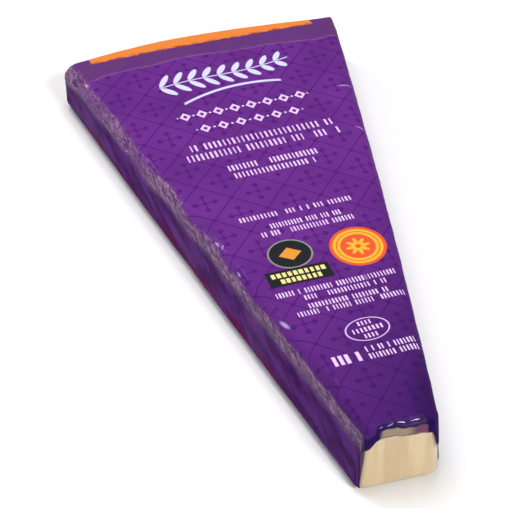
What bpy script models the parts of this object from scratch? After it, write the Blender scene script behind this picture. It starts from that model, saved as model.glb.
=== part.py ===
"""A chunk of hard cheese, shrink-wrapped in printed film with a clear window at its tip.

The chunk is a slice of a wheel: wide and gently rounded at the rind, narrow and a little
taller at the tip. Three pieces lie one over the other with a small gap between them:

    cheese        the solid chunk
    printed_film  the thin skin of printed film over everything except the tip's window
    clear_film    the clear part of the film, stretched over the window

Metres, +Z up, +Y from the tip to the rind. The chunk lies on its flat underside, and the
origin is at the bottom, in the middle of its box.
"""

import math

import bmesh
import bpy
from mathutils import Vector, noise

# Driving sizes, over the film
LENGTH = 0.1767
TIP_WIDTH = 0.0194
RIND_WIDTH = 0.0869
TIP_HEIGHT = 0.0247
RIND_HEIGHT = 0.0170
WHEEL_RADIUS = 0.235

# How far the real chunk departs from a straight, even slice
TOP_EDGE_RADIUS = 0.0037
BOTTOM_EDGE_RADIUS = 0.0037
LEFT_RIND_CORNER_EASE = 0.0016
RIGHT_RIND_CORNER_EASE = -0.0022
RIND_CORNER_LENGTH = 0.030
RIND_SHOULDER_LENGTH = 0.0105
RIND_SHOULDER_DROP = 0.0016
RIGHT_SIDE_BOW = 0.0010
LEFT_SIDE_BOW = 0.0007
TIP_SPLAY = 0.0017
TIP_SKEW = -0.05
TIP_CORNER_SHARPER = 0.0017
TIP_CORNER_LENGTH = 0.016
RIND_SKEW = -0.025

# The film and the gaps between the pieces
FILM_WALL = 0.0003
GAP = 0.0003

# The window in the tip: the printed film comes down over its top as a wavy hem
HEM_DEPTH = 0.0052
HEM_PROUD = 0.0007
HEM_WAVE = 0.0006

# Puckers that the shrunk film draws along its long top edges, deepest on the left
LEFT_PUCKER_PROUD = 0.0006
RIGHT_PUCKER_PROUD = 0.0002
PUCKER_PITCH = 0.020

# The grid on the chunk's six sides runs from -1 to 1. Past FLAT it turns round the edges.
# The cells across, along and up are those of the flat part.
FLAT = 0.8
TURN_CELLS = 3
CHEESE_CELLS = (6, 10, 3)
FILM_CELLS = (6, 26, 3)

PRINT_PURPLE = (0.141, 0.026, 0.254, 1.0)
CHEESE_CREAM = (0.658, 0.515, 0.314, 1.0)
CLEAR_PALE = (0.90, 0.90, 0.93, 0.35)


def clear_scene():
    for obj in list(bpy.data.objects):
        bpy.data.objects.remove(obj, do_unlink=True)


def mix(low, high, share):
    return low + (high - low) * share


def lines(cells):
    """Grid lines between -1 and 1: even over the flat part, then closer round the edges."""
    flat = [mix(-FLAT, FLAT, step / cells) for step in range(cells + 1)]
    turn = [mix(FLAT, 1.0, step / TURN_CELLS) for step in range(1, TURN_CELLS)]
    return [-place for place in reversed(turn)] + flat + turn


def edge_radii(side, along):
    """The radii at the foot and at the top, where the tip's left corner is sharper."""
    near_tip = max(0.0, 1 - along * LENGTH / TIP_CORNER_LENGTH) ** 2
    sharper = TIP_CORNER_SHARPER * near_tip * (1 - side) / 2
    return BOTTOM_EDGE_RADIUS, TOP_EDGE_RADIUS - sharper


def rounding(side, along, up):
    """The edges' radii along X, Y and Z.

    In plan, the rind's left corner is rounder than the rest, and its right one sharper.
    """
    radius = mix(*edge_radii(side, along), up)
    from_rind = (1 - along) * LENGTH
    near_rind = max(0.0, 1 - from_rind / RIND_CORNER_LENGTH) ** 2
    near_corner = side**4 if along > 0.5 else 0.0
    ease = mix(LEFT_RIND_CORNER_EASE, RIGHT_RIND_CORNER_EASE, (side + 1) / 2)
    ease_x = ease * near_rind
    ease_y = ease * near_corner
    return Vector((radius + ease_x, radius + ease_y, radius))


def core_point(side, along, up, radii):
    """A point of the core that the rounded edges are swept round.

    side runs from -1 to 1, and along (tip to rind) and up (foot to top) from 0 to 1.
    """
    half_width = mix(TIP_WIDTH, RIND_WIDTH, along) / 2 + TIP_SPLAY * (1 - along) * (1 - up)
    bow = mix(-LEFT_SIDE_BOW, RIGHT_SIDE_BOW, (side + 1) / 2) * 4 * along * (1 - along)
    x = side * (half_width - radii.x) + bow
    y_tip = radii.y + TIP_SKEW * x
    y_rind = LENGTH - radii.y + RIND_SKEW * x - x * x / (2 * WHEEL_RADIUS)
    shoulder = max(0.0, 1 - (1 - along) * LENGTH / RIND_SHOULDER_LENGTH)
    foot_radius, top_radius = edge_radii(side, along)
    z_top = mix(TIP_HEIGHT, RIND_HEIGHT, along) - top_radius
    z_top -= RIND_SHOULDER_DROP * shoulder
    return Vector((x, mix(y_tip, y_rind, along), mix(foot_radius, z_top, up)))


def hem_relief(place, z):
    """The rolled lip of printed film along the tip's top edge, waving as it shrank."""
    if place.y > -FLAT:
        return 0.0
    wave = math.sin(place.x * 7.0) + 0.6 * math.sin(place.x * 15.0 + 1.0)
    middle = HEM_DEPTH * 0.45 + HEM_WAVE * wave
    depth = TIP_HEIGHT - z
    roll = math.exp(-((depth - middle) / (HEM_DEPTH * 0.3)) ** 2)
    return HEM_PROUD * roll * (1 - place.x**4)


def pucker_relief(place, point):
    """Short oblique folds along the two long top edges, where the film gathered."""
    edge = (1 + FLAT) / 2
    nearness = 1 - math.hypot(abs(place.x) - edge, place.z - edge) / 0.3
    if nearness <= 0:
        return 0.0
    slant = point.y + 1.4 * abs(point.x)
    drift = noise.noise(Vector((0, slant / PUCKER_PITCH, 0.5)))
    fold = 0.5 + 0.5 * math.sin(2 * math.pi * slant / PUCKER_PITCH + 3 * drift)
    return mix(LEFT_PUCKER_PROUD, RIGHT_PUCKER_PROUD, (place.x + 1) / 2) * nearness * fold


def skin_point(place, proud, folded):
    """Where a point of the cube's skin lies on the chunk, `proud` metres outside its film."""
    core = Vector(max(-FLAT, min(FLAT, at)) for at in place)
    side, along, up = core.x / FLAT, (core.y / FLAT + 1) / 2, (core.z / FLAT + 1) / 2
    radii = rounding(side, along, up)
    out = (place - core).normalized()
    surface = core_point(side, along, up, radii) + out * radii
    if folded:
        proud += hem_relief(place, surface.z) + pucker_relief(place, surface)
    normal = Vector(part / radius for part, radius in zip(out, radii)).normalized()
    return surface + normal * proud


def cube_grid(cells, extra_lines=()):
    """A cube from -1 to 1 whose sides are cut along the chunk's grid lines."""
    grid = bmesh.new()
    bmesh.ops.create_cube(grid, size=2.0)
    shoulder = FLAT * (1 - 2 * RIND_SHOULDER_LENGTH / LENGTH)
    cuts = [(axis, at) for axis in range(3) for at in lines(cells[axis])] + [(1, shoulder)]
    cuts += [line for line in extra_lines if line not in cuts and abs(line[1]) < 1]
    for axis, at in cuts:
        normal = Vector((0, 0, 0))
        normal[axis] = 1.0
        everything = grid.verts[:] + grid.edges[:] + grid.faces[:]
        bmesh.ops.bisect_plane(grid, geom=everything, plane_co=normal * at, plane_no=normal)
    return grid


def keep_faces(grid, wanted):
    unwanted = [face for face in grid.faces if not wanted(face.calc_center_median())]
    bmesh.ops.delete(grid, geom=unwanted, context="FACES")


def window_lines(margin):
    """Grid lines round the window, drawn in by `margin` of the cube's half side.

    It covers the tip below the hem, and ends where the right side and the underside begin.
    """
    hem = 1 - 2 * HEM_DEPTH / TIP_HEIGHT
    return [(0, -1 + margin), (1, -FLAT - margin), (2, hem - margin)]


def in_window(centre, margin):
    """Whether a face of the cube grid lies in the window."""
    left, back, hem = (at for _, at in window_lines(margin))
    return centre.x > left and centre.y < back and centre.z < hem


def material(name, colour, roughness):
    made = bpy.data.materials.new(name)
    made.use_nodes = True
    shader = made.node_tree.nodes["Principled BSDF"]
    shader.inputs["Base Color"].default_value = colour
    shader.inputs["Roughness"].default_value = roughness
    shader.inputs["Alpha"].default_value = colour[3]
    return made


def add_piece(name, grid, proud, folded, finish, parts):
    """Moves the grid's points onto the chunk and makes the piece's object."""
    for vert in grid.verts:
        vert.co = skin_point(vert.co.copy(), proud, folded)
    mesh = bpy.data.meshes.new(name)
    grid.to_mesh(mesh)
    grid.free()
    mesh.materials.append(finish)
    mesh.shade_smooth()
    piece = bpy.data.objects.new(name, mesh)
    parts.objects.link(piece)
    return piece


def thicken(piece):
    """Gives an open skin its wall, inwards from its outer face."""
    wall = piece.modifiers.new("wall", "SOLIDIFY")
    wall.thickness = FILM_WALL
    wall.offset = -1.0


def make_cheese(parts):
    finish = material("cheese", CHEESE_CREAM, 0.55)
    inset = FILM_WALL + GAP
    return add_piece("cheese", cube_grid(CHEESE_CELLS), -inset, False, finish, parts)


def make_printed_film(parts):
    grid = cube_grid(FILM_CELLS, window_lines(0.0))
    keep_faces(grid, lambda centre: not in_window(centre, 0.0))
    finish = material("printed_film", PRINT_PURPLE, 0.25)
    film = add_piece("printed_film", grid, 0.0, True, finish, parts)
    thicken(film)
    return film


def make_clear_film(parts):
    margin = GAP * FLAT / (TIP_WIDTH / 2 - TOP_EDGE_RADIUS)
    grid = cube_grid(FILM_CELLS, window_lines(margin))
    keep_faces(grid, lambda centre: in_window(centre, margin))
    finish = material("clear_film", CLEAR_PALE, 0.1)
    film = add_piece("clear_film", grid, 0.0, False, finish, parts)
    thicken(film)
    return film


def centre_on_origin(pieces):
    """Moves the origin from the tip's foot to the bottom of the box's middle."""
    corners = [vert.co for piece in pieces for vert in piece.data.vertices]
    low = Vector(min(corner[axis] for corner in corners) for axis in range(3))
    high = Vector(max(corner[axis] for corner in corners) for axis in range(3))
    shift = Vector(((low.x + high.x) / 2, (low.y + high.y) / 2, low.z))
    for piece in pieces:
        for vert in piece.data.vertices:
            vert.co -= shift


def main():
    clear_scene()
    parts = bpy.data.collections.new("cheese_chunk")
    bpy.context.scene.collection.children.link(parts)
    pieces = [make_cheese(parts), make_printed_film(parts), make_clear_film(parts)]
    centre_on_origin(pieces)


main()
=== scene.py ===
"""The looks of the shrink-wrapped cheese wedge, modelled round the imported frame.

Three pieces stand for the three packed ones:

    cheese_core          the chunk itself, seen through the window
    printed_film_skin    the printed film, with its crumpled edges, creases, hem and print
    clear_film_window    the clear film across the tip

Lengths are in metres, and in the print in millimetres, as a print designer would draw it.
"""

import math
from functools import reduce

import bpy
import numpy as np
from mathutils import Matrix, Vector, noise


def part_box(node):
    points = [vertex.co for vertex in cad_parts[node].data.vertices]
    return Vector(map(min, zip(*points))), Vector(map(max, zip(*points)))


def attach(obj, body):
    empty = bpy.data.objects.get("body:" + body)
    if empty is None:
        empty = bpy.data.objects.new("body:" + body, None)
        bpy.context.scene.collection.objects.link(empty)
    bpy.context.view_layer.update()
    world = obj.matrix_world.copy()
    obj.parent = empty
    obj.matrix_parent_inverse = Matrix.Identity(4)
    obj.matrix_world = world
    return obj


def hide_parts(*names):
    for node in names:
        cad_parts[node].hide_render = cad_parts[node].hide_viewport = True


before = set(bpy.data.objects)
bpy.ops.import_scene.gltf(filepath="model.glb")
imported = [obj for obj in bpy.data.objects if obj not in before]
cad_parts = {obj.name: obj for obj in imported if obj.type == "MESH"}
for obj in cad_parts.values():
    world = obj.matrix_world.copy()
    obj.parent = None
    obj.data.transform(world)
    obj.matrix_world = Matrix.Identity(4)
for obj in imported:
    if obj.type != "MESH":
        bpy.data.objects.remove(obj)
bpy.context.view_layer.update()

MM = 0.001

# The chunk's sizes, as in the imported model
LENGTH = 0.1767
TIP_WIDTH = 0.0194
RIND_WIDTH = 0.0869
TIP_HEIGHT = 0.0247
RIND_HEIGHT = 0.0170
WHEEL_RADIUS = 0.235
TOP_EDGE_RADIUS = 0.0037
BOTTOM_EDGE_RADIUS = 0.0037
LEFT_RIND_CORNER_EASE = 0.0016
RIGHT_RIND_CORNER_EASE = -0.0022
RIND_CORNER_LENGTH = 0.030
RIND_SHOULDER_LENGTH = 0.0105
RIND_SHOULDER_DROP = 0.0016
RIGHT_SIDE_BOW = 0.0010
LEFT_SIDE_BOW = 0.0007
TIP_SPLAY = 0.0017
TIP_CORNER_SHARPER = 0.0017
TIP_CORNER_LENGTH = 0.016
TIP_SKEW = -0.05
RIND_SKEW = -0.025

# How far each surface lies inside the film's outer face
FILM_WALL = 0.0003
CLEAR_INSET = 0.00034
CLEAR_WALL = 0.0001
CHEESE_INSET = 0.0006

# The grid on the chunk's six sides runs from -1 to 1, and past FLAT it turns round the edges.
# Beside each long edge it has a strip of even width, so that the film's fine folds get
# cells of the same size from the rind to the tip.
FLAT = 0.8
STRIP_START = 0.45
EDGE_STRIP = 0.0045

# The window in the tip, under the wavy hem of the printed film. On the cube, HEM_LINE is
# the grid's line that becomes the hem's edge, HEM_FADE is how far behind the tip the grid
# bends to it, and CLEAR_TUCK is how far the clear film runs under the printed one.
HEM_LINE = 0.625
HEM_FADE = 0.06
CLEAR_TUCK = 0.012
WINDOW_TOP = 0.0048
WINDOW_SLOPE = 0.13
HEM_PROUD = 0.000616
HEM_BEADS = 0.00015
HEM_TUCK = 0.00022
HEM_CREST = 0.0007
HEM_ROLL = 0.0009
LEFT_FOLD_DEPTH = 0.0046
LEFT_FOLD_WIDTH = 0.0036
RIGHT_FOLD_DEPTH = 0.0062
RIGHT_FOLD_WIDTH = 0.0024

# The slope at which the folds beside the long edges run down the sides toward the tip
SLANT = 0.38

# The crumpled strip sinks down the side as it nears the tip: millimetres, and per millimetre
STRIP_SINK = 4.7
STRIP_SINK_RATE = 0.034

# The pitch of the puckers along the long edges, in millimetres, and how steeply they run
PUCKER_PITCH = 20
PUCKER_SLANT = 1.4

# The crease above the rind runs this far ahead of where the shoulder starts, and further on
# the right than on the left, in millimetres
CREASE_AHEAD = 1.9
CREASE_TILT = 0.6

# How far each kind of fold stands proud of the smooth chunk, or sinks into it. In a pair the
# right side comes first. A share says how much of the left strip's the right one has.
STRIP_PROUD = 0.00034
STRIP_SUNK = 0.00012
RIGHT_STRIP_SHARE = 0.3
RIGHT_GLOSS_SHARE = 0.1
PUCKER_PROUD = (0.0001, 0.0004)
SIDE_WAVE_PROUD = 0.00016
TOP_WAVE_PROUD = 0.00011
CREASE_PROUD = 0.00016
DEEPEST_HOLLOW = -0.00024
UNDERSIDE_RELIEF = -0.00004
PLEATS_PROUD = 0.00005
CUT_PROUD = 0.00004


def mix(low, high, share):
    return low + (high - low) * share


def ramp(value, start, end):
    """0 before start and 1 after end, with a smooth turn between; start may be the larger."""
    share = np.clip((value - start) / (end - start), 0.0, 1.0)
    return share * share * (3 - 2 * share)


def bell(value, middle, width):
    return np.exp(-(((value - middle) / width) ** 2))


def fractal(x, y, seed):
    """Smooth noise between about -1 and 1 over the numbers x and y."""
    return np.array([noise.noise(Vector((a, b, seed))) for a, b in zip(x, y)])


class Skin:
    """Points of the chunk's skin, from their places on a cube whose sides run from -1 to 1."""

    def __init__(self, place):
        core = np.clip(place, -FLAT, FLAT)
        out = place - core
        self.place = place
        self.out = out / np.linalg.norm(out, axis=1)[:, None]
        self.side, self.along, self.up = core[:, 0] / FLAT, unit(core[:, 1]), unit(core[:, 2])
        self.set_radii()
        self.set_core()
        self.point = self.core + self.out * self.radii
        normal = self.out / self.radii
        self.normal = normal / np.linalg.norm(normal, axis=1)[:, None]
        self.set_distances()

    def set_radii(self):
        near_tip = np.clip(1 - self.along * LENGTH / TIP_CORNER_LENGTH, 0, None) ** 2
        sharper = TIP_CORNER_SHARPER * near_tip * (1 - self.side) / 2
        self.top_radius = TOP_EDGE_RADIUS - sharper
        radius = mix(BOTTOM_EDGE_RADIUS, self.top_radius, self.up)
        from_rind = (1 - self.along) * LENGTH
        near_rind = np.clip(1 - from_rind / RIND_CORNER_LENGTH, 0, None) ** 2
        near_corner = np.where(self.along > 0.5, self.side**4, 0.0)
        ease = mix(LEFT_RIND_CORNER_EASE, RIGHT_RIND_CORNER_EASE, (self.side + 1) / 2)
        ease_x = ease * near_rind
        ease_y = ease * near_corner
        self.radii = np.stack([radius + ease_x, radius + ease_y, radius], axis=1)

    def set_core(self):
        side, along, up = self.side, self.along, self.up
        splay = TIP_SPLAY * (1 - along) * (1 - up)
        self.half = mix(TIP_WIDTH, RIND_WIDTH, along) / 2 + splay - self.radii[:, 0]
        middle = 4 * along * (1 - along)
        x = side * self.half + mix(-LEFT_SIDE_BOW, RIGHT_SIDE_BOW, (side + 1) / 2) * middle
        self.left_edge = -self.half - LEFT_SIDE_BOW * middle
        self.right_edge = self.half + RIGHT_SIDE_BOW * middle
        y_tip = self.radii[:, 1] + TIP_SKEW * x
        y_rind = LENGTH - self.radii[:, 1] + RIND_SKEW * x - x * x / (2 * WHEEL_RADIUS)
        shoulder = np.clip(1 - (1 - along) * LENGTH / RIND_SHOULDER_LENGTH, 0, None)
        self.z_top = mix(TIP_HEIGHT, RIND_HEIGHT, along) - self.top_radius
        self.z_top -= RIND_SHOULDER_DROP * shoulder
        z = mix(BOTTOM_EDGE_RADIUS, self.z_top, up)
        self.core = np.stack([x, mix(y_tip, y_rind, along), z], axis=1)

    def set_distances(self):
        """Distances over the skin: across from the long top edges, and down sides and ends."""
        out, radius = self.out, self.top_radius
        depth = self.z_top - self.core[:, 2]
        self.down_side = radius * np.arctan2(np.abs(out[:, 0]), out[:, 2]) + depth
        self.down_end = radius * np.arctan2(np.abs(out[:, 1]), out[:, 2]) + depth
        self.on_end = out[:, 1] ** 2 / np.clip(out[:, 0] ** 2 + out[:, 1] ** 2, 1e-9, None)
        inside = np.abs(self.side) * self.half - self.half
        inside = np.where(out[:, 2] < -0.5, -inside, inside)
        self.from_edge = inside + self.down_side * (1 - self.on_end) - radius * math.pi / 4


def unit(place):
    return (place / FLAT + 1) / 2


def axis_lines(*runs):
    """Places along one axis, from runs of (start, end, cells)."""
    places = [runs[0][0]]
    for start, end, cells in runs:
        places += [mix(start, end, (step + 1) / cells) for step in range(cells)]
    return np.array(places)


def keep_strips(place):
    """Moves the grid's lines so that the strips beside the long edges keep an even width.

    On the narrow tip the strip is held to 0.75 of the way across, and 0.9 of the way down.
    """
    flat = np.abs(place) <= FLAT
    x, y, z = np.where(flat, place, 0.0).T
    along = unit(np.clip(place[:, 1], -FLAT, FLAT))
    half = mix(TIP_WIDTH, RIND_WIDTH, along) / 2 - TOP_EDGE_RADIUS
    strip = np.minimum(EDGE_STRIP / half, 0.75)
    moved_x = np.sign(x) * stripped(np.abs(x) / FLAT, strip)
    height = mix(TIP_HEIGHT, RIND_HEIGHT, along) - TOP_EDGE_RADIUS - BOTTOM_EDGE_RADIUS
    strip = np.minimum(2 * EDGE_STRIP / height, 0.9)
    moved_z = np.where(z > 0, stripped(z / FLAT, strip), z / FLAT)
    moved = np.stack([moved_x, y / FLAT, moved_z], axis=1) * FLAT
    return np.where(flat, moved, place)


def stripped(share, strip):
    """Takes the part past STRIP_START to a strip of the given width, and the rest inside it."""
    start = STRIP_START / FLAT
    in_strip = 1 - strip * (1 - share) / (1 - start)
    return np.where(share > start, in_strip, share / start * (1 - strip))


class Grid:
    """The quads on a cube's six sides, cut along the given lines."""

    def __init__(self, lines):
        counts = [len(line) for line in lines]
        grid = np.stack(np.meshgrid(*lines, indexing="ij"), axis=-1)
        at_end = [np.isin(np.arange(count), (0, count - 1)) for count in counts]
        on_skin = at_end[0][:, None, None] | at_end[1][None, :, None] | at_end[2][None, None, :]
        number = np.full(counts, -1)
        number[on_skin] = np.arange(on_skin.sum())
        self.place = grid[on_skin]
        self.faces = np.concatenate(
            [side_quads(number, axis, last) for axis in range(3) for last in (False, True)]
        )

    def centres(self):
        return self.place[self.faces].mean(axis=1)

    def keep(self, wanted):
        """Keeps the wanted faces, and only the points that they use."""
        self.faces = self.faces[wanted]
        used, renumbered = np.unique(self.faces, return_inverse=True)
        self.faces = renumbered.reshape(self.faces.shape)
        self.place = self.place[used]


def side_quads(number, axis, last):
    """One side's quads, turned to face outwards."""
    side = np.moveaxis(number, axis, 0)[-1 if last else 0]
    corners = [side[:-1, :-1], side[1:, :-1], side[1:, 1:], side[:-1, 1:]]
    if last != (axis != 1):
        corners.reverse()
    return np.stack(corners, axis=-1).reshape(-1, 4)


# ---------------------------------------------------------------- the film's folds


def hem_line(x):
    """How far below the top the printed film ends over the window, wavy, at x from the middle."""
    wave = 0.2 * np.sin(x * 800 + 0.6) + 0.06 * np.sin(x * 2100 + 2.0)
    edge = TIP_WIDTH / 2
    fold = LEFT_FOLD_DEPTH * ramp(x, LEFT_FOLD_WIDTH - edge, -edge)
    fold += RIGHT_FOLD_DEPTH * ramp(x, edge - RIGHT_FOLD_WIDTH, edge - RIGHT_FOLD_WIDTH / 3)
    return WINDOW_TOP + WINDOW_SLOPE * x + wave * MM + fold


def hem_relief(skin):
    """The rolled lip of printed film along the tip's top edge, waving as it shrank."""
    x = skin.point[:, 0]
    down = TIP_HEIGHT - skin.point[:, 2]
    wave = 0.28 * np.sin(x * 620) + 0.16 * np.sin(x * 1500 + 1.0)
    roll = bell(down, HEM_CREST + wave * MM, HEM_ROLL)
    beads = fractal(x / 0.0026, down / 0.0040, 4.0)
    tuck = HEM_TUCK * ramp(down, hem_line(x) - 0.0012, hem_line(x))
    on_tip = ramp(-skin.out[:, 1], 0.1, 0.6)
    near = 1 - skin.place[:, 0] ** 4
    return on_tip * near * (roll * (HEM_PROUD + HEM_BEADS * beads) - tuck)


def above_hem(skin):
    """Millimetres above the hem's edge on the tip, and a large number elsewhere."""
    down = TIP_HEIGHT - skin.point[:, 2]
    above = (hem_line(skin.point[:, 0]) - down) / MM
    return mix(30.0, above, ramp(-skin.out[:, 1], 0.25, 0.45))


def crumple_shape(skin, seed):
    """The crumpled strip along the long top edges: its height and where it is strongest."""
    along = skin.point[:, 1] / MM
    across = skin.from_edge / MM - np.clip(STRIP_SINK - STRIP_SINK_RATE * along, 0, None)
    drift = fractal(along / 12, across * 0 + seed, 1.0)
    broad = fractal(along / 8, across / 5, seed + 2.0)
    strength = ramp(across + 1.5 * drift, -2.2, -1.0) * ramp(across + 2.0 * drift, 5.6, 1.4)
    strength = strength * (0.85 + 0.7 * fractal(along / 16, across * 0, seed + 3.0))
    strength = strength * ramp(skin.normal[:, 2], -0.8, -0.4)
    run = along - SLANT * across
    bent = across + SLANT * along + 0.8 * broad
    long_folds = ramp(fractal(run / 5.0, bent / 1.1, seed), -0.15, 0.35)
    short_folds = ramp(fractal(run / 2.2, bent / 0.6, seed + 5.0), -0.1, 0.35)
    height = 0.6 * long_folds + 0.4 * short_folds
    return height * strength, strength


def puckers(skin):
    """Longer, softer folds that run obliquely over the long edges and onto the sides."""
    along = skin.point[:, 1] / MM
    across = skin.from_edge / MM
    slant = along + PUCKER_SLANT * np.abs(skin.point[:, 0]) / MM
    drift = fractal(slant / PUCKER_PITCH, across / 30, 0.5)
    fold = 0.5 + 0.5 * np.sin(2 * math.pi * slant / PUCKER_PITCH + 3 * drift)
    return fold * ramp(across, -5.0, -0.5) * ramp(across, 7.0, 1.0)


def side_waves(skin):
    """Shallow hollows down the sides, where the film bridges the cheese's uneven cut."""
    along = skin.point[:, 1] / MM
    across = skin.from_edge / MM
    slant = along + 0.8 * across
    waves = fractal(slant / 11, across / 9, 11.0) + 0.4 * fractal(slant / 4, across / 5, 12.0)
    return waves * ramp(across, 1.0, 4.0)


def top_waves(skin):
    """The top's slight unevenness."""
    x, y = skin.point[:, 0] / MM, skin.point[:, 1] / MM
    waves = fractal(x / 22, y / 30, 21.0) + 0.35 * fractal(x / 8, y / 9, 22.0)
    return waves * ramp(skin.from_edge / MM, -1.0, -6.0)


def beyond_crease(skin):
    """Millimetres behind the thin crease where the top breaks down to the rind's shoulder."""
    start = 1 - RIND_SHOULDER_LENGTH / LENGTH
    from_crease = (skin.along - start) * (LENGTH - 2 * TOP_EDGE_RADIUS) / MM
    wander = 0.35 * np.sin(skin.side * 9) + 0.15 * np.sin(skin.side * 23)
    return from_crease + CREASE_AHEAD + CREASE_TILT * skin.side + wander


def shoulder_crease(skin):
    return bell(beyond_crease(skin), 0.0, 0.55) * ramp(skin.out[:, 2], 0.7, 0.95)


def film_relief(skin):
    """How far the film stands proud of the smooth chunk, its crumpling and the strip's share."""
    left = ramp(skin.side, 0.1, -0.1)
    crumple, strip = crumple_shape(skin, 31.0)
    crumple = crumple * mix(RIGHT_STRIP_SHARE, 1.0, left)
    relief = STRIP_PROUD * crumple - STRIP_SUNK * strip * mix(RIGHT_STRIP_SHARE, 1.0, left)
    relief += mix(*PUCKER_PROUD, left) * puckers(skin)
    relief += SIDE_WAVE_PROUD * side_waves(skin) + TOP_WAVE_PROUD * top_waves(skin)
    relief += CREASE_PROUD * shoulder_crease(skin)
    relief += hem_relief(skin)
    gloss = strip * mix(RIGHT_GLOSS_SHARE, 1.0, left)
    under = ramp(skin.normal[:, 2], -0.5, -0.9)
    relief = mix(np.clip(relief, DEEPEST_HOLLOW, None), UNDERSIDE_RELIEF, under)
    return relief, crumple, gloss


# ---------------------------------------------------------------- the print's coordinates

# Where the print's own origin lies on the chunk, and how far the print is turned
PRINT_CENTRE = (-0.0221, 0.1005)
PRINT_TURN = math.radians(2.48)


def print_places(skin, faces, centres):
    """Unrolled print coordinates for each face's corners, in millimetres.

    The print runs over the top and down the sides, and meets itself under the middle. It
    also runs down the two ends, so its seams are at the upright edges and underneath.
    """
    x, y = skin.core[faces][:, :, 0], skin.point[faces][:, :, 1]
    right = (centres[:, 0] > 0)[:, None]
    outwards = np.where(right, 1.0, -1.0)
    down = outwards * skin.down_side[faces]
    on_top = (centres[:, 2] > 0.999)[:, None]
    radius = skin.radii[:, 2]
    turn = np.arctan2(np.abs(skin.out[:, 0]), skin.out[:, 2]) * radius
    top_u = x + outwards * turn[faces]
    edge = np.where(right, skin.right_edge[faces], skin.left_edge[faces])
    under_u = 2 * edge - x + down
    u = np.where(on_top, top_u, x + down)
    u = np.where((centres[:, 2] < -0.999)[:, None], under_u, u)
    on_end = (np.abs(centres[:, 1]) > 0.999)[:, None]
    u = np.where(on_end, skin.point[faces][:, :, 0], u)
    to_rind = np.where(centres[:, 1] > 0, 1.0, -1.0)[:, None]
    v = np.where(on_end, skin.core[faces][:, :, 1] + to_rind * skin.down_end[faces], y)
    u, v = (u - PRINT_CENTRE[0]) / MM, (v - PRINT_CENTRE[1]) / MM
    c, s = math.cos(PRINT_TURN), math.sin(PRINT_TURN)
    return np.stack([c * u + s * v, c * v - s * u, np.zeros_like(u)], axis=-1)


# ---------------------------------------------------------------- meshes


def make_object(name, points, faces):
    mesh = bpy.data.meshes.new(name)
    mesh.from_pydata(points.tolist(), [], [list(face) for face in faces])
    mesh.validate()
    mesh.shade_smooth()
    piece = bpy.data.objects.new(name, mesh)
    bpy.context.scene.collection.objects.link(piece)
    return piece


def store(mesh, name, kind, domain, values):
    """Writes an attribute; numbers go out as FLOAT, and rows of three as FLOAT_VECTOR."""
    made = mesh.attributes.new(name, kind, domain)
    field = "value" if kind == "FLOAT" else "vector"
    made.data.foreach_set(field, np.ascontiguousarray(values, dtype=np.float32).ravel())


def declare(piece, node):
    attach(piece, "root")
    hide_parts(node)
    return piece


def even_lines(flat, turn):
    """Places along one axis, with `flat` cells over the flat part and `turn` at each end."""
    return axis_lines((-1, -FLAT, turn), (-FLAT, FLAT, flat), (FLAT, 1, turn))


def cheese_relief(skin):
    """The cut's slight unevenness, with upright ribs across the tip."""
    x, y, z = (skin.point / MM).T
    ribs = np.sin(x * 1.9 + 0.5) + 0.6 * np.sin(x * 3.7 + 1.2)
    on_tip = ramp(-skin.out[:, 1], 0.3, 0.9)
    return CUT_PROUD * (ribs * on_tip + fractal(x / 3, (y + z) / 3, 41.0))


def make_cheese(shift):
    grid = Grid((even_lines(40, 5), even_lines(110, 5), even_lines(22, 5)))
    skin = Skin(grid.place)
    points = skin.point + skin.normal * (cheese_relief(skin) - CHEESE_INSET)[:, None]
    piece = make_object("cheese_core", points - shift, grid.faces)
    piece.data.materials.append(cheese_material())
    return declare(piece, "cheese")


def frame_shift():
    """From the chunk's own origin, at the tip's foot, to the frame's, read off the cheese."""
    grid = Grid((even_lines(6, 3),) * 3)
    skin = Skin(grid.place)
    low = (skin.point - skin.normal * CHEESE_INSET).min(axis=0)
    return low - np.array(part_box("cheese")[0])


def film_lines():
    x = axis_lines(
        (-1, -FLAT, 9),
        (-FLAT, -STRIP_START, 15),
        (-STRIP_START, STRIP_START, 36),
        (STRIP_START, FLAT, 9),
        (FLAT, 1, 6),
    )
    y = axis_lines((-1, -FLAT, 9), (-FLAT, FLAT, 300), (FLAT, 1, 8))
    z = axis_lines(
        (-1, -FLAT, 4),
        (-FLAT, 0, 6),
        (0, STRIP_START, 5),
        (STRIP_START, HEM_LINE, 6),
        (HEM_LINE, FLAT, 6),
        (FLAT, 1, 9),
    )
    return x, y, z


def inner_lines():
    """Lines of the film's inner face, which needs few."""
    z = axis_lines((-1, -FLAT, 4), (-FLAT, HEM_LINE, 5), (HEM_LINE, FLAT, 2), (FLAT, 1, 4))
    return even_lines(14, 4), even_lines(40, 4), z


def in_window(centres):
    """Faces of the tip below the hem, with the turns to its right side and its underside."""
    return (centres[:, 0] > -1) & (centres[:, 1] < -FLAT) & (centres[:, 2] < HEM_LINE)


def bend_to_hem(place):
    """Moves the grid lines round the tip so that the one at HEM_LINE is the hem's edge."""
    skin = Skin(place)
    z = place[:, 2]
    core_height = TIP_HEIGHT - TOP_EDGE_RADIUS - BOTTOM_EDGE_RADIUS
    down = hem_line(skin.point[:, 0]) - skin.top_radius
    hem = FLAT * (1 - 2 * down / (TIP_HEIGHT - skin.top_radius - BOTTOM_EDGE_RADIUS))
    line = stripped(np.array([HEM_LINE / FLAT]), 2 * EDGE_STRIP / core_height)[0] * FLAT
    above = mix(hem, FLAT, (z - line) / (FLAT - line))
    below = mix(-FLAT, hem, (z + FLAT) / (line + FLAT))
    bent = np.where(z > line, above, below)
    weight = ramp(place[:, 1], -FLAT + HEM_FADE, -FLAT) * (np.abs(z) <= FLAT)
    return np.stack([place[:, 0], place[:, 1], mix(z, bent, weight)], axis=1)


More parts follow.
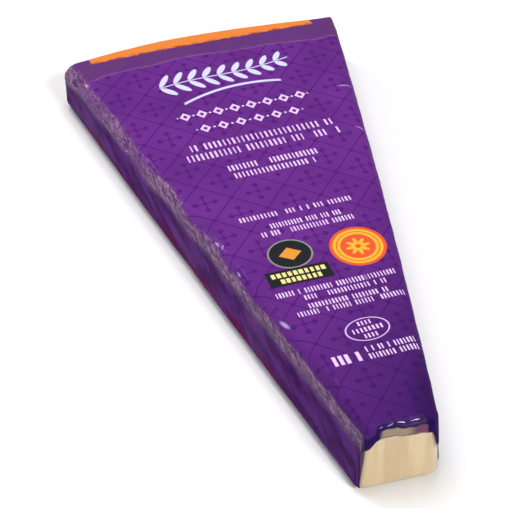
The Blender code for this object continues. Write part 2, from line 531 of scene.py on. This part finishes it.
def shell_grid(lines):
    """The printed film's grid without its window, bent to the hem, and its faces' centres."""
    grid = Grid(lines)
    grid.keep(~in_window(grid.centres()))
    centres = grid.centres()
    ring = rim(grid)
    grid.place = bend_to_hem(keep_strips(grid.place))
    return grid, centres, ring


def rim(grid):
    """The points round the window's edge in order, and how far round the edge each lies."""
    edges = np.concatenate([grid.faces[:, [a, (a + 1) % 4]] for a in range(4)])
    count = len(grid.place)
    forwards, backwards = edges @ (count, 1), edges @ (1, count)
    following = dict(edges[~np.isin(forwards, backwards)].tolist())
    corner = np.array([-1, -1, HEM_LINE])
    start = min(following, key=lambda point: np.abs(grid.place[point] - corner).sum())
    points = [start]
    while following[points[-1]] != start:
        points.append(following[points[-1]])
    steps = np.linalg.norm(np.diff(grid.place[points + [start]], axis=0), axis=1)
    return np.array(points), np.cumsum(steps)


def join_rims(outer, inner):
    """Triangles between two rings of points, each with its distances to the next points."""
    (a, a_next), (b, b_next) = outer, inner
    triangles, i, j = [], 0, 0
    while i < len(a) or j < len(b):
        if j == len(b) or (i < len(a) and a_next[i] <= b_next[j]):
            triangles.append((a[(i + 1) % len(a)], a[i], b[j % len(b)]))
            i += 1
        else:
            triangles.append((b[j], b[(j + 1) % len(b)], a[i % len(a)]))
            j += 1
    return triangles


def make_printed_film(shift):
    outer, centres, outer_ring = shell_grid(film_lines())
    inner, _, (inner_points, inner_steps) = shell_grid(inner_lines())
    skin, lining = Skin(outer.place), Skin(inner.place)
    relief, crumple_height, gloss = film_relief(skin)
    outside = skin.point + skin.normal * relief[:, None]
    inside = lining.point - lining.normal * FILM_WALL
    count = len(outside)
    edge_faces = join_rims(outer_ring, (inner_points + count, inner_steps))
    faces = outer.faces.tolist() + (inner.faces[:, ::-1] + count).tolist() + edge_faces
    piece = make_object("printed_film_skin", np.concatenate([outside, inside]) - shift, faces)
    corners = np.zeros((len(piece.data.loops), 3))
    places = print_places(skin, outer.faces, centres)
    corners[: places.shape[0] * 4] = places.reshape(-1, 3)
    store(piece.data, "print", "FLOAT_VECTOR", "CORNER", corners)
    blank = np.zeros((len(inside), 3))
    edge = np.stack([skin.point[:, 1] / MM, skin.from_edge / MM, skin.side], axis=1)
    store(piece.data, "edge", "FLOAT_VECTOR", "POINT", np.concatenate([edge, blank]))
    crumple_and_hem = np.stack([crumple_height, gloss, above_hem(skin)], axis=1)
    store(piece.data, "crumple_and_hem", "FLOAT_VECTOR", "POINT", np.concatenate([crumple_and_hem, blank]))
    crease = np.concatenate([beyond_crease(skin), blank[:, 0]])
    store(piece.data, "crease", "FLOAT", "POINT", crease)
    piece.data.materials.append(film_material())
    return declare(piece, "printed_film")


def clear_lines():
    y = axis_lines((-1, -FLAT, 8), (-FLAT, CLEAR_TUCK - FLAT, 2), (CLEAR_TUCK - FLAT, 1, 2))
    z = axis_lines((-1, -FLAT, 8), (-FLAT, FLAT, 40), (FLAT, 1, 4))
    return even_lines(48, 8), y, z


def make_clear_film(shift):
    """The clear film, tucked under the printed film all round the window."""
    grid = Grid(clear_lines())
    centres = grid.centres()
    grid.keep((centres[:, 1] < CLEAR_TUCK - FLAT) & (centres[:, 2] < FLAT))
    skin = Skin(grid.place)
    x, z = skin.point[:, 0] / MM, skin.point[:, 2] / MM
    pleats = fractal(x / 1.4 + z / 25, z / 14, 51.0) + 0.4 * fractal(x / 0.6, z / 9, 52.0)
    relief = PLEATS_PROUD * pleats - CLEAR_INSET
    points = skin.point + skin.normal * relief[:, None]
    piece = make_object("clear_film_window", points - shift, grid.faces.tolist())
    store(piece.data, "tip", "FLOAT_VECTOR", "POINT", tip_places(skin))
    wall = piece.modifiers.new("wall", "SOLIDIFY")
    wall.thickness = CLEAR_WALL
    wall.offset = -1.0
    piece.data.materials.append(clear_material())
    return declare(piece, "clear_film")


def tip_places(skin):
    """Millimetres from the tip's middle and below its top, and below the hem's edge."""
    down = TIP_HEIGHT - skin.point[:, 2]
    below_hem = down - hem_line(skin.point[:, 0])
    return np.stack([skin.point[:, 0], down, below_hem], axis=1) / MM


# ---------------------------------------------------------------- shader fields


class Field:
    """A number that varies over a surface, so that patterns read like arithmetic.

    Cycles has room for only some 250 numbers that are still to be read, and it works through
    the nodes in the order they are made, but leaves whatever reads a noise to the end.
    """

    def __init__(self, tree, socket):
        self.tree = tree
        self.socket = socket

    def make(self, operation, *others):
        node = self.tree.nodes.new("ShaderNodeMath")
        node.operation = operation
        for place, value in enumerate((self, *others)):
            feed(node.inputs[place], value)
        return Field(self.tree, node.outputs[0])

    def __add__(self, other):
        return self.make("ADD", other)

    def __sub__(self, other):
        return self.make("SUBTRACT", other)

    def __mul__(self, other):
        return self.make("MULTIPLY", other)

    def __truediv__(self, other):
        return self.make("DIVIDE", other)

    def size(self):
        return self.make("ABSOLUTE")

    def sine(self):
        return self.make("SINE")

    def whole(self):
        return self.make("FLOOR")

    def fold(self, half):
        """Distance to the nearest multiple of twice `half`."""
        return self.make("PINGPONG", half)

    def least(self, other):
        return self.make("MINIMUM", other)

    def most(self, other):
        return self.make("MAXIMUM", other)

    def steps(self, start, end, low=0.0, high=1.0):
        """A smooth turn from low at start to high at end; start may be the larger."""
        node = self.tree.nodes.new("ShaderNodeMapRange")
        node.interpolation_type = "SMOOTHSTEP"
        node.clamp = False
        for name, value in zip(("Value", "From Min", "From Max"), (self, start, end)):
            feed(node.inputs[name], value)
        node.inputs["To Min"].default_value = low
        node.inputs["To Max"].default_value = high
        return Field(self.tree, node.outputs[0])

    def below(self, limit, soft):
        return self.steps(limit + soft, limit - soft)

    def between(self, low, high, soft):
        return ((self - (low + high) / 2).size()).below((high - low) / 2, soft)


def feed(socket, value):
    if isinstance(value, Field):
        value.tree.links.new(value.socket, socket)
    else:
        socket.default_value = value


def read_vector(tree, name):
    """The three numbers of a vector attribute."""
    node = tree.nodes.new("ShaderNodeAttribute")
    node.attribute_name = name
    split = tree.nodes.new("ShaderNodeSeparateXYZ")
    tree.links.new(node.outputs["Vector"], split.inputs[0])
    return [Field(tree, output) for output in split.outputs]


def read_number(tree, name):
    """The number of a plain attribute."""
    node = tree.nodes.new("ShaderNodeAttribute")
    node.attribute_name = name
    return Field(tree, node.outputs["Fac"])


def noise_field(x, y, seed, detail=2.0):
    """Smooth noise about 0.5 over two fields."""
    tree = x.tree
    vector = tree.nodes.new("ShaderNodeCombineXYZ")
    feed(vector.inputs[0], x)
    feed(vector.inputs[1], y)
    vector.inputs[2].default_value = seed
    made = tree.nodes.new("ShaderNodeTexNoise")
    made.inputs["Scale"].default_value = 1.0
    made.inputs["Detail"].default_value = detail
    tree.links.new(vector.outputs[0], made.inputs["Vector"])
    return Field(tree, made.outputs["Fac"])


def random_step(cell, seed):
    """A number from 0 to 1 that looks random but is fixed for each whole number."""
    return ((cell * 12.99 + seed * 78.23).sine() * 437.59).make("FRACT")


def blend(share, low, high):
    """A colour between two, each a colour or another blend's socket."""
    tree = share.tree
    node = tree.nodes.new("ShaderNodeMix")
    node.data_type = "RGBA"
    feed(node.inputs["Factor"], share)
    for name, value in (("A", low), ("B", high)):
        socket = [entry for entry in node.inputs if entry.name == name and entry.type == "RGBA"][0]
        if isinstance(value, tuple):
            socket.default_value = value
        else:
            tree.links.new(value, socket)
    return [entry for entry in node.outputs if entry.type == "RGBA"][0]


def screen_colour(red, green, blue):
    """A colour given as it looks on screen, 0 to 255, as the light it stands for."""
    shares = [part / 255 for part in (red, green, blue)]
    light = [s / 12.92 if s <= 0.04045 else ((s + 0.055) / 1.055) ** 2.4 for s in shares]
    return (*light, 1.0)


def new_material(name, roughness):
    made = bpy.data.materials.new(name)
    made.use_nodes = True
    shader = made.node_tree.nodes["Principled BSDF"]
    shader.inputs["Roughness"].default_value = roughness
    return made, made.node_tree, shader


def bump(tree, shader, height, distance):
    node = tree.nodes.new("ShaderNodeBump")
    node.inputs["Distance"].default_value = distance
    feed(node.inputs["Height"], height)
    for name in ("Normal", "Coat Normal"):
        tree.links.new(node.outputs[0], shader.inputs[name])


# ---------------------------------------------------------------- the print, with light and shade painted on it

TOP_PURPLE = screen_colour(97, 43, 128)
TOP_PURPLE_LIGHT = screen_colour(107, 48, 138)
PATTERN_PURPLE = screen_colour(82, 30, 114)
# Painted reflection: the paler purple of the rind's sloping shoulder
SHOULDER_REFLECTION_PURPLE = screen_colour(98, 59, 109)
PALE_INK = screen_colour(232, 200, 240)
PALE_BLUE_INK = screen_colour(214, 214, 246)
# Painted highlight, mauve, on the crumpled strip's crests and along the shoulder's crease
PAINTED_HIGHLIGHT_MAUVE = screen_colour(150, 104, 146)
# Painted glint on short creases of the film
PAINTED_GLINT = screen_colour(190, 170, 220)
# Painted shade toward the tip and its right corner
TIP_SHADE = screen_colour(46, 22, 84)
TIP_CORNER_SHADE = screen_colour(40, 20, 70)
# Painted shade and light on the folds down the sides
SIDE_FOLD_SHADE = screen_colour(54, 20, 72)
SIDE_FOLD_LIT = screen_colour(92, 44, 120)
# Painted reddish reflection at the foot of the sides
FOOT_RED_REFLECTION = screen_colour(104, 8, 58)
# Painted shade in the gaps between the crumpled strip's crests
FOLD_GAP_SHADE = screen_colour(76, 30, 96)
NAVY = screen_colour(34, 14, 76)
FADED_INK = screen_colour(160, 140, 120)
FADED_MAUVE = screen_colour(114, 72, 98)
HEM_BROWN = screen_colour(116, 90, 80)
ORANGE = screen_colour(235, 134, 60)
# Painted shade along the orange panel's crease
ORANGE_CREASE_SHADE = screen_colour(140, 60, 44)
SEAL_ORANGE = screen_colour(228, 92, 52)
SEAL_YELLOW = screen_colour(242, 180, 62)
BADGE_RIM = screen_colour(150, 150, 140)
DARK_PANEL = screen_colour(38, 40, 44)
AMBER = screen_colour(226, 150, 60)
PALE_YELLOW = screen_colour(238, 226, 150)
# The cheese's upright light and dark bands: partly its cut's striations, partly painted reflection
# of the clear film
CHEESE_DEEP = screen_colour(209, 178, 133)
CHEESE_PALE = screen_colour(224, 198, 156)
CHEESE_WARM = screen_colour(222, 191, 134)
CHEESE_GRAIN = screen_colour(238, 220, 184)
CLEAR_PALE = screen_colour(235, 232, 225)
CLEAR_HAZE = screen_colour(206, 190, 170)

# The lattice's pitch and the width of its lines
PITCH = 15.4
LINE = 0.27

# The rows run downhill to the right, about their middle
ROW_TILT = 0.047
ROW_MIDDLE = 25.0

# Rows of lozenges: left end, right end, foot, height and number. Rows of small print: left
# end, right end, foot, height, blocks, share of ink in each block, and share left out.
GAPS = 0.13
LOZENGE_ROWS = ((5.0, 45.0, 28.8, 4.0, 8), (8.6, 40.8, 21.9, 3.9, 6))
ROWS = (
    (2.2, 46.7, 14.3, 2.8, 32, 0.16, GAPS),
    (1.4, 47.2, 9.9, 2.9, 34, 0.16, GAPS),
    (10.8, 37.4, 2.6, 2.4, 24, 0.20, GAPS),
    (11.4, 36.7, -1.0, 2.3, 22, 0.20, GAPS),
    (6.0, 40.2, -19.8, 1.9, 34, 0.20, GAPS),
    (13.0, 33.2, -24.6, 2.0, 24, 0.20, GAPS),
    (9.5, 36.7, -27.5, 2.0, 30, 0.20, GAPS),
    (4.5, 37.3, -51.5, 1.9, 38, 0.20, GAPS),
    (11.2, 33.7, -54.1, 1.8, 25, 0.20, GAPS),
    (11.0, 33.7, -57.4, 1.8, 25, 0.20, GAPS),
    (7.2, 36.5, -59.7, 1.8, 34, 0.20, GAPS),
    (9.0, 13.9, -79.1, 3.3, 3, 0.30, 0.0),
    (15.2, 16.8, -79.1, 3.3, 1, 0.30, 0.0),
    (18.3, 31.8, -76.6, 1.9, 16, 0.20, GAPS),
    (18.3, 31.8, -79.2, 1.9, 15, 0.20, GAPS),
)
STAMP_ROWS = (
    (19.9, 23.9, -67.1, 1.5, 4, 0.20, 0.0),
    (17.6, 26.2, -69.5, 1.6, 8, 0.20, 0.0),
    (19.9, 23.9, -71.8, 1.5, 4, 0.20, 0.0),
)

# The sprig: its ends and height, its leaves and their half width and lean. The arc under it:
# its ends, its peak, and its fall ten millimetres from there.
SPRIG_ENDS = (5.0, 46.0)
SPRIG_HEIGHT = 47.4
LEAVES = 9
LEAF_HALF_WIDTH = 0.95
LEAF_LEAN = math.radians(52)
ARC_ENDS = (9.4, 40.0)
ARC_PEAK = (26.5, 41.3)
ARC_FALL = 1.22

# The emblems: centres, and half widths and half heights
BADGE_CENTRE = (14.1, -35.3)
BADGE_HALF = (6.1, 5.7)
BADGE_LOZENGE_HALF = (3.2, 2.6)
PANEL_CENTRE = (13.4, -43.9)
PANEL_HALF = (8.6, 3.0)
PANEL_TILT = 0.06
PANEL_ROWS = (
    (5.9, 21.0, -43.6, 1.7, 10, 0.32, 0.0),
    (7.8, 19.2, -46.0, 1.7, 8, 0.32, 0.0),
)
SEAL_CENTRE = (32.0, -38.8)
SEAL_HALF = (7.6, 7.8)
SEAL_PETALS = 8.0
STAMP_CENTRE = (21.9, -68.7)
STAMP_HALF = (5.9, 4.1)

# The orange panel over the rind: its middle, half width, front edge and that edge's tilt
RIND_PANEL_MIDDLE = 25.4
RIND_PANEL_HALF = 35.2
RIND_PANEL_FRONT = 68.8
RIND_PANEL_TILT = 0.058

# Short creases in the film, painted as pale glints: place, half length, half width, and angle in
# degrees
GLINT_MARKS = (
    (-2.4, -24.1, 1.3, 0.3, 100),
    (-1.5, -26.2, 0.8, 0.3, 60),
    (-1.1, -37.0, 1.2, 0.3, 95),
    (-2.4, -41.9, 0.9, 0.3, 120),
    (3.2, -59.6, 2.2, 0.55, 110),
    (56.6, 29.5, 2.4, 0.3, 165),
    (53.2, 8.8, 2.0, 0.3, 150),
    (-13.6, 26.8, 1.6, 0.3, 125),
)


def lattice(u, v):
    """A diagonal lattice with a knot at each crossing and a dotted cross in each cell."""
    p, q = u / PITCH, v / PITCH
    a, b = (p + q).fold(0.5), (p - q).fold(0.5)
    lines = a.least(b).below(LINE / PITCH, 0.006)
    knots = a.most(b).below(0.05, 0.008)
    from_a, from_b = (a * -1.0) + 0.5, (b * -1.0) + 0.5
    far, near = (from_a + from_b) / 2.0, (from_a - from_b).size() / 2.0
    stems = near.most(far - 0.18).below(0.011, 0.004)
    dots = ((far - 0.185).size() + near).below(0.066, 0.008)
    middle = (far + near).below(0.052, 0.008)
    return lines.most(knots).most(stems).most(dots).most(middle)


def print_row(u, v, row, seed):
    """A row of upright blocks with some gaps, which stands where a line of text would."""
    left, right, foot, height, blocks, ink, gaps = row
    place = (u - left) * (blocks / (right - left))
    cell = place.whole()
    wide = random_step(cell, seed) * 0.12 + (ink - 0.04)
    block = (place - cell - 0.5).size() - wide
    gap = random_step(cell, seed + 0.37).below(gaps - 0.001, 0.001)
    inside = (v - (foot + height / 2)).size().below(height / 2, 0.12)
    ends = (place - blocks / 2).size().below(blocks / 2, 0.01)
    return block.below(0.0, 0.05) * inside * ends * (gap * -1.0 + 1.0)


def lozenge_row(u, v, row):
    """A row of hollow lozenges with a dot between each two, for the largest lines."""
    left, right, foot, height, count = row
    place = (u - left) * (count / (right - left))
    x = (place - 0.5).fold(0.5) * ((right - left) / count)
    y = (v - (foot + height / 2)).size()
    rim = x / (height * 0.42) + y / (height * 0.5)
    lozenge = rim.below(1.0, 0.07) - rim.below(0.45, 0.07)
    dot = ((x - (right - left) / count / 2).size() + y).below(height * 0.12, 0.1)
    ends = (place - count / 2).size().below(count / 2, 0.01)
    return lozenge.most(dot) * ends


def most_of(shapes):
    """Several shapes as one, each joined as soon as it is made, so that few values are held."""
    return reduce(Field.most, shapes)


def print_rows(u, v, rows, seed):
    return most_of(print_row(u, v, row, seed + number) for number, row in enumerate(rows))


def small_print(u, v):
    """All the rows on the top, in the places of the pack's name and its lines of text."""
    tilted = v + (u - ROW_MIDDLE) * ROW_TILT
    lozenges = most_of(lozenge_row(u, tilted, row) for row in LOZENGE_ROWS)
    return lozenges.most(print_rows(u, tilted, ROWS, 3.0))


def oval(x, y, half_width, half_height):
    """1 at the rim of an oval round the origin, less inside it."""
    x, y = x / half_width, y / half_height
    return (x * x + y * y).make("SQRT")


def ornament(u, v):
    """A leafy sprig, whose leaves get smaller to the right, and the arc under it."""
    start, end = SPRIG_ENDS
    pitch = (end - start) / LEAVES
    share = (u - start) / (end - start)
    stem = share * 1.8 + (share * 6.0 + 0.6).sine() * 0.7 + SPRIG_HEIGHT
    x = u - start - ((u - start) / pitch).whole() * pitch
    y = (v - stem).size()
    length = share * -1.0 + 3.2
    out = x * math.cos(LEAF_LEAN) + y * math.sin(LEAF_LEAN) - length - 0.4
    aside = y * math.cos(LEAF_LEAN) - x * math.sin(LEAF_LEAN)
    leaf = oval(out, aside, length, LEAF_HALF_WIDTH).below(1.0, 0.09)
    sprig = leaf.most(y.below(0.2, 0.1)) * u.between(start, end, 0.2)
    fall = ((u - ARC_PEAK[0]) / 10.0).make("POWER", 2.0) * ARC_FALL
    arc = (v - ARC_PEAK[1] + fall).size().below(0.5, 0.12) * u.between(*ARC_ENDS, 0.3)
    return sprig.most(arc)


def add_badge(x, y, colour):
    """A dark oval with a pale rim and an amber lozenge."""
    badge = oval(x, y, *BADGE_HALF)
    colour = blend(badge.below(1.0, 0.02), colour, BADGE_RIM)
    colour = blend(badge.below(0.93, 0.02), colour, DARK_PANEL)
    half_width, half_height = BADGE_LOZENGE_HALF
    lozenge = x.size() / half_width + y.size() / half_height
    return blend(lozenge.below(1.0, 0.04), colour, AMBER)


def add_panel(u, v, colour):
    """A dark panel, tilted a little, with two rows of pale blocks."""
    (middle, height), (half_width, half_height) = PANEL_CENTRE, PANEL_HALF
    x = u - middle
    tilted = v + x * PANEL_TILT
    panel = (x.size() / half_width).most((tilted - height).size() / half_height)
    colour = blend(panel.below(1.0, 0.012), colour, DARK_PANEL)
    return blend(print_rows(u, tilted, PANEL_ROWS, 71.0), colour, PALE_YELLOW)


def add_seal(x, y, colour):
    """A disc with a broad yellow ring, and a rosette of eight petals in its middle."""
    disc = oval(x, y, *SEAL_HALF)
    colour = blend(disc.below(1.0, 0.015), colour, SEAL_ORANGE)
    colour = blend(disc.between(0.62, 0.88, 0.015), colour, SEAL_YELLOW)
    colour = blend(disc.between(0.73, 0.77, 0.012), colour, SEAL_ORANGE)
    petals = (y.make("ARCTAN2", x) * SEAL_PETALS).make("COSINE") * 0.11 + 0.33
    colour = blend((disc - petals).below(0.0, 0.012), colour, SEAL_YELLOW)
    return blend(disc.below(0.1, 0.012), colour, SEAL_ORANGE)


def add_stamp(u, v, colour):
    """An oval outline with three short rows of print."""
    rim = oval(u - STAMP_CENTRE[0], v - STAMP_CENTRE[1], *STAMP_HALF)
    stamp = rim.between(0.94, 1.0, 0.02).most(print_rows(u, v, STAMP_ROWS, 73.0))
    return blend(stamp, colour, PALE_INK)


def add_emblems(u, v, colour):
    """Plain shapes where the marks stand."""
    colour = add_badge(u - BADGE_CENTRE[0], v - BADGE_CENTRE[1], colour)
    colour = add_panel(u, v, colour)
    colour = add_seal(u - SEAL_CENTRE[0], v - SEAL_CENTRE[1], colour)
    return add_stamp(u, v, colour)


def film_colour(u, v, edge, crumple_and_hem, crease):
    """The print, with painted shade toward the tip and down the sides, and painted highlights and
    reflections where the film is crumpled or creased.
    """
    colour = add_shade(edge, ground(u, v, edge, crease))
    colour = blend(small_print(u, v), colour, PALE_INK)
    colour = blend(ornament(u, v), colour, PALE_BLUE_INK)
    colour = add_emblems(u, v, colour)
    colour = add_rind_panel(u, v, colour)
    # Painted glints on short creases near the top's edges
    painted_glints = most_of(glint_mark(u, v, *numbers) for numbers in GLINT_MARKS)
    colour = blend(painted_glints * 0.75, colour, PAINTED_GLINT)
    colour = add_crumple_highlights(edge, crumple_and_hem, colour)
    return add_hem(edge, crumple_and_hem, colour)


def ground(u, v, edge, crease):
    """Mottled purple with the lattice; behind the crease the shoulder is painted paler in blotches
    with its lattice faded, as painted reflection, and the crease is a painted highlight line.
    """
    mottle = noise_field(u * 0.06, v * 0.06, 5.0)
    base = blend(mottle.steps(0.3, 0.7), TOP_PURPLE, TOP_PURPLE_LIGHT)
    beyond = crease.steps(-0.3, 0.5)
    # Behind the crease the lattice fades, as painted reflection on the shoulder
    colour = blend(lattice(u, v) * (beyond * -0.9 + 0.9), base, PATTERN_PURPLE)
    blotches = noise_field(u * 0.16, v * 0.3, 9.0).steps(0.35, 0.7)
    # Painted reflection: the shoulder paler, in blotches
    colour = blend(beyond * (blotches * 0.6 + 0.4), colour, SHOULDER_REFLECTION_PURPLE)
    # Painted highlight: a broken pale line along the crease
    line = crease.between(-0.35, 0.35, 0.25) * edge[1].below(-1.0, 1.0)
    broken = noise_field(u * 0.4, v * 0.4, 11.0).steps(0.3, 0.55, 0.35)
    return blend(line * broken * 0.4, colour, PAINTED_HIGHLIGHT_MAUVE)


def add_shade(edge, colour):
    """Painted shade toward the tip, its right corner and down the sides, with the side's folds
    painted lighter and darker, and a reddish reflection painted at their foot.
    """
    along, across, side = edge
    # Painted shade: darker toward the tip, and more so at its right corner
    from_tip = along - side * 14.0
    colour = blend(from_tip.steps(80.0, -10.0) * 0.68, colour, TIP_SHADE)
    from_corner = along - side * 30.0
    colour = blend(from_corner.steps(0.0, -26.0) * 0.6, colour, TIP_CORNER_SHADE)
    # Painted shade down the sides, with their folds painted lighter and darker
    down_side = across.steps(1.5, 5.0)
    run, bent = slanted(along, across)
    folds = noise_field(run * 0.09, bent * 0.26, 33.0).steps(0.36, 0.64)
    shaded = blend(folds, SIDE_FOLD_SHADE, SIDE_FOLD_LIT)
    colour = blend(down_side * 0.75, colour, shaded)
    # Painted reflection: a patchy red tinge at the sides' foot
    foot = (across + along * 0.0435).between(18.2, 22.0, 0.8)
    patchy = noise_field(run * 0.06, bent * 0.4, 35.0).steps(0.42, 0.58)
    return blend(foot * patchy * along.steps(15.0, 60.0) * 0.75, colour, FOOT_RED_REFLECTION)


def slanted(along, across):
    """Along and across, turned to run with the folds down the side."""
    return along - across * SLANT, across + along * SLANT


def streaks(edge):
    """Fine slanting streaks where the film is crumpled, from about 0 to 1."""
    along, across, _ = edge
    warp = (noise_field(along * 0.26, across * 0.3, 41.0) - 0.5) * 5.0
    run, bent = slanted(along, across)
    bent = bent + warp
    broad = noise_field(run * 0.17, bent, 43.0)
    fine = noise_field(run * 0.5, bent * 2.8, 45.0)
    return (broad * 0.6 + fine * 0.4).steps(0.37, 0.64)


def add_crumple_highlights(edge, crumple_and_hem, colour):
    """The crumpled strip: painted highlights on its crests, with painted shade in the gaps between
    them.
    """
    along, across, _ = edge
    crumple_height, strip, _ = crumple_and_hem
    ragged = (noise_field(along * 0.35, across * 0.5, 47.0, 3.0) - 0.5) * 0.9
    highlighted_strip = (strip + ragged).steps(0.2, 0.85)
    crests = streaks(edge) * 0.75 + crumple_height * 0.35
    strands = blend(crests.steps(0.15, 0.75), FOLD_GAP_SHADE, PAINTED_HIGHLIGHT_MAUVE)
    # Painted highlights on the strip's crests and painted shade in its gaps, over the ink
    return blend(highlighted_strip * along.steps(80.0, 160.0, 0.9, 0.62), colour, strands)


def add_hem(edge, crumple_and_hem, colour):
    """On the tip the ink is navy round the lip, and thins out toward the hem's edge."""
    side = edge[2]
    above = crumple_and_hem[2] + noise_field(side * 2.2, side * 0.5, 49.0) - 0.5
    on_hem = above.steps(-0.9, -0.4)
    colour = blend(above.below(4.1, 0.4) * on_hem * 0.9, colour, NAVY)
    faded = blend(side.steps(0.05, 0.55), FADED_INK, FADED_MAUVE)
    middle = side.steps(-0.86, -0.70) * side.steps(0.99, 0.96)
    band = above.below(2.9, 0.2) * on_hem * middle
    colour = blend(band * 0.95, colour, faded)
    border = above.between(-0.4, 0.35, 0.15) * middle
    return blend(border * 0.8, colour, HEM_BROWN)


def glint_mark(u, v, left, foot, half_length, half_width, angle):
    """A short crease at an edge of the top, painted as a pale glint."""
    c, s = math.cos(math.radians(angle)), math.sin(math.radians(angle))
    x, y = u - left, v - foot
    return oval(x * c + y * s, y * c - x * s, half_length, half_width).below(0.8, 0.4)


def add_rind_panel(u, v, colour):
    """The orange panel over the rind, with a ragged, creased front edge, its crease a broken line
    of painted shade.
    """
    ragged = (noise_field(u * 0.5, v * 0.5, 15.0, 3.0) - 0.5) * 1.6
    behind = v + u * RIND_PANEL_TILT + ragged - RIND_PANEL_FRONT
    inside = (u - RIND_PANEL_MIDDLE).size().below(RIND_PANEL_HALF, 0.4)
    colour = blend(behind.steps(-0.2, 0.2) * inside, colour, ORANGE)
    # Painted shade: a broken dark line along the panel's front crease
    broken = noise_field(u * 0.3, v, 17.0, 3.0).steps(0.45, 0.6)
    crease = behind.between(-0.4, 0.8, 0.5) * broken
    return blend(crease * inside * 0.8, colour, ORANGE_CREASE_SHADE)


def film_material():
    made, tree, shader = new_material("printed_film", 0.4)
    u, v, _ = read_vector(tree, "print")
    edge = read_vector(tree, "edge")
    crumple_and_hem = read_vector(tree, "crumple_and_hem")
    crease = read_number(tree, "crease")
    tree.links.new(film_colour(u, v, edge, crumple_and_hem, crease), shader.inputs["Base Color"])
    _, strip, above = crumple_and_hem
    between_folds = edge[2].steps(-0.9, -0.65) * edge[2].steps(0.96, 0.8)
    on_lip = above.between(3.6, 7.0, 0.6) * between_folds * 0.9
    shader.inputs["Specular IOR Level"].default_value = 0.0
    shader.inputs["Coat Roughness"].default_value = 0.12
    patches = noise_field(u * 0.09, v * 0.05, 19.0).steps(0.35, 0.75)
    feed(shader.inputs["Coat Weight"], strip * 0.6 + on_lip + patches * 0.08 + 0.03)
    feed(shader.inputs["Roughness"], noise_field(u * 0.35, v * 0.35, 21.0) * 0.2 + 0.4)
    folds = streaks(edge) * strip
    skin = noise_field(u * 0.8, v * 0.8, 29.0) * 0.15
    bump(tree, shader, folds + skin, 0.0003)
    return made


def cheese_material():
    made, tree, shader = new_material("cheese", 0.5)
    coordinates = tree.nodes.new("ShaderNodeTexCoord")
    split = tree.nodes.new("ShaderNodeSeparateXYZ")
    tree.links.new(coordinates.outputs["Object"], split.inputs[0])
    x, y, z = [Field(tree, output) / MM for output in split.outputs]
    # Upright light and dark bands, partly the cut's striations and partly painted reflection from
    # the clear film
    striations_and_reflections = noise_field(x * 0.32, z * 0.03, 61.0, 1.0)
    grain = noise_field(x * 1.6, (z + y) * 1.6, 63.0, 4.0)
    colour = blend(striations_and_reflections.steps(0.35, 0.65), CHEESE_DEEP, CHEESE_PALE)
    colour = blend(z.steps(12.0, -2.0) * 0.5, colour, CHEESE_WARM)
    colour = blend(grain.steps(0.5, 0.75) * 0.3, colour, CHEESE_GRAIN)
    tree.links.new(colour, shader.inputs["Base Color"])
    bump(tree, shader, grain, 0.0002)
    return made


def clear_material():
    made, tree, shader = new_material("clear_film", 0.1)
    x, down, below_hem = read_vector(tree, "tip")
    wander = (noise_field(x * 0.3, down * 0.1, 81.0) - 0.5) * 1.4
    haze = (below_hem + wander).below(0.7, 0.5)
    colour = blend(haze, CLEAR_PALE, CLEAR_HAZE)
    tree.links.new(colour, shader.inputs["Base Color"])
    facing = tree.nodes.new("ShaderNodeLayerWeight")
    gloss = Field(tree, facing.outputs["Facing"]).make("POWER", 3.0)
    feed(shader.inputs["Alpha"], (haze * 0.45).most(gloss * 0.4 + 0.03))
    return made


# ---------------------------------------------------------------- camera, floor and lights

# The photo's view of the chunk
CAMERA_PLACE = (-0.1144, -0.3269, 0.3309)
CAMERA_FORWARD = (0.2213, 0.6880, -0.6912)
CAMERA_LENS = 120.5

FLOOR_HALF = 4.0
FLOOR_WHITE = (0.95, 0.95, 0.95, 1.0)

# Soft boxes: name, place, width and height, and power in watts
SOFT_BOXES = (
    ("overhead", (-0.12, 0.15, 0.9), (0.5, 0.5), 4.5),
    ("back_left", (-0.6, 0.8, 0.62), (0.25, 0.25), 2.5),
    ("front", (0.2, -0.75, 0.75), (0.22, 0.22), 5.5),
)
WORLD_STRENGTH = 0.3


def make_camera():
    camera = bpy.data.objects.new("camera", bpy.data.cameras.new("camera"))
    bpy.context.scene.collection.objects.link(camera)
    camera.data.lens = CAMERA_LENS
    camera.data.sensor_width = 36.0
    camera.location = CAMERA_PLACE
    camera.rotation_euler = Vector(CAMERA_FORWARD).to_track_quat("-Z", "Y").to_euler()
    bpy.context.scene.camera = camera


def make_floor():
    mesh = bpy.data.meshes.new("floor")
    low, high = -FLOOR_HALF, FLOOR_HALF
    corners = [(low, low, 0), (high, low, 0), (high, high, 0), (low, high, 0)]
    mesh.from_pydata(corners, [], [(0, 1, 2, 3)])
    floor = bpy.data.objects.new("floor", mesh)
    bpy.context.scene.collection.objects.link(floor)
    made, _, shader = new_material("floor", 0.9)
    shader.inputs["Base Color"].default_value = FLOOR_WHITE
    shader.inputs["Specular IOR Level"].default_value = 0.0
    mesh.materials.append(made)


def soft_box(name, place, size, power):
    """A rectangular light, `size` across and high, aimed at the chunk."""
    lamp = bpy.data.lights.new(name, "AREA")
    lamp.shape = "RECTANGLE"
    lamp.size, lamp.size_y = size
    lamp.energy = power
    light = bpy.data.objects.new(name, lamp)
    bpy.context.scene.collection.objects.link(light)
    light.location = place
    light.rotation_euler = (-Vector(place)).to_track_quat("-Z", "Y").to_euler()


def make_lights():
    for box in SOFT_BOXES:
        soft_box(*box)
    world = bpy.data.worlds.new("studio")
    bpy.context.scene.world = world
    world.use_nodes = True
    background = world.node_tree.nodes["Background"]
    background.inputs["Color"].default_value = (1.0, 1.0, 1.0, 1.0)
    background.inputs["Strength"].default_value = WORLD_STRENGTH
    bpy.context.scene.view_settings.view_transform = "Standard"


def main():
    shift = frame_shift()
    make_cheese(shift)
    make_printed_film(shift)
    make_clear_film(shift)
    make_floor()
    make_lights()
    make_camera()


main()
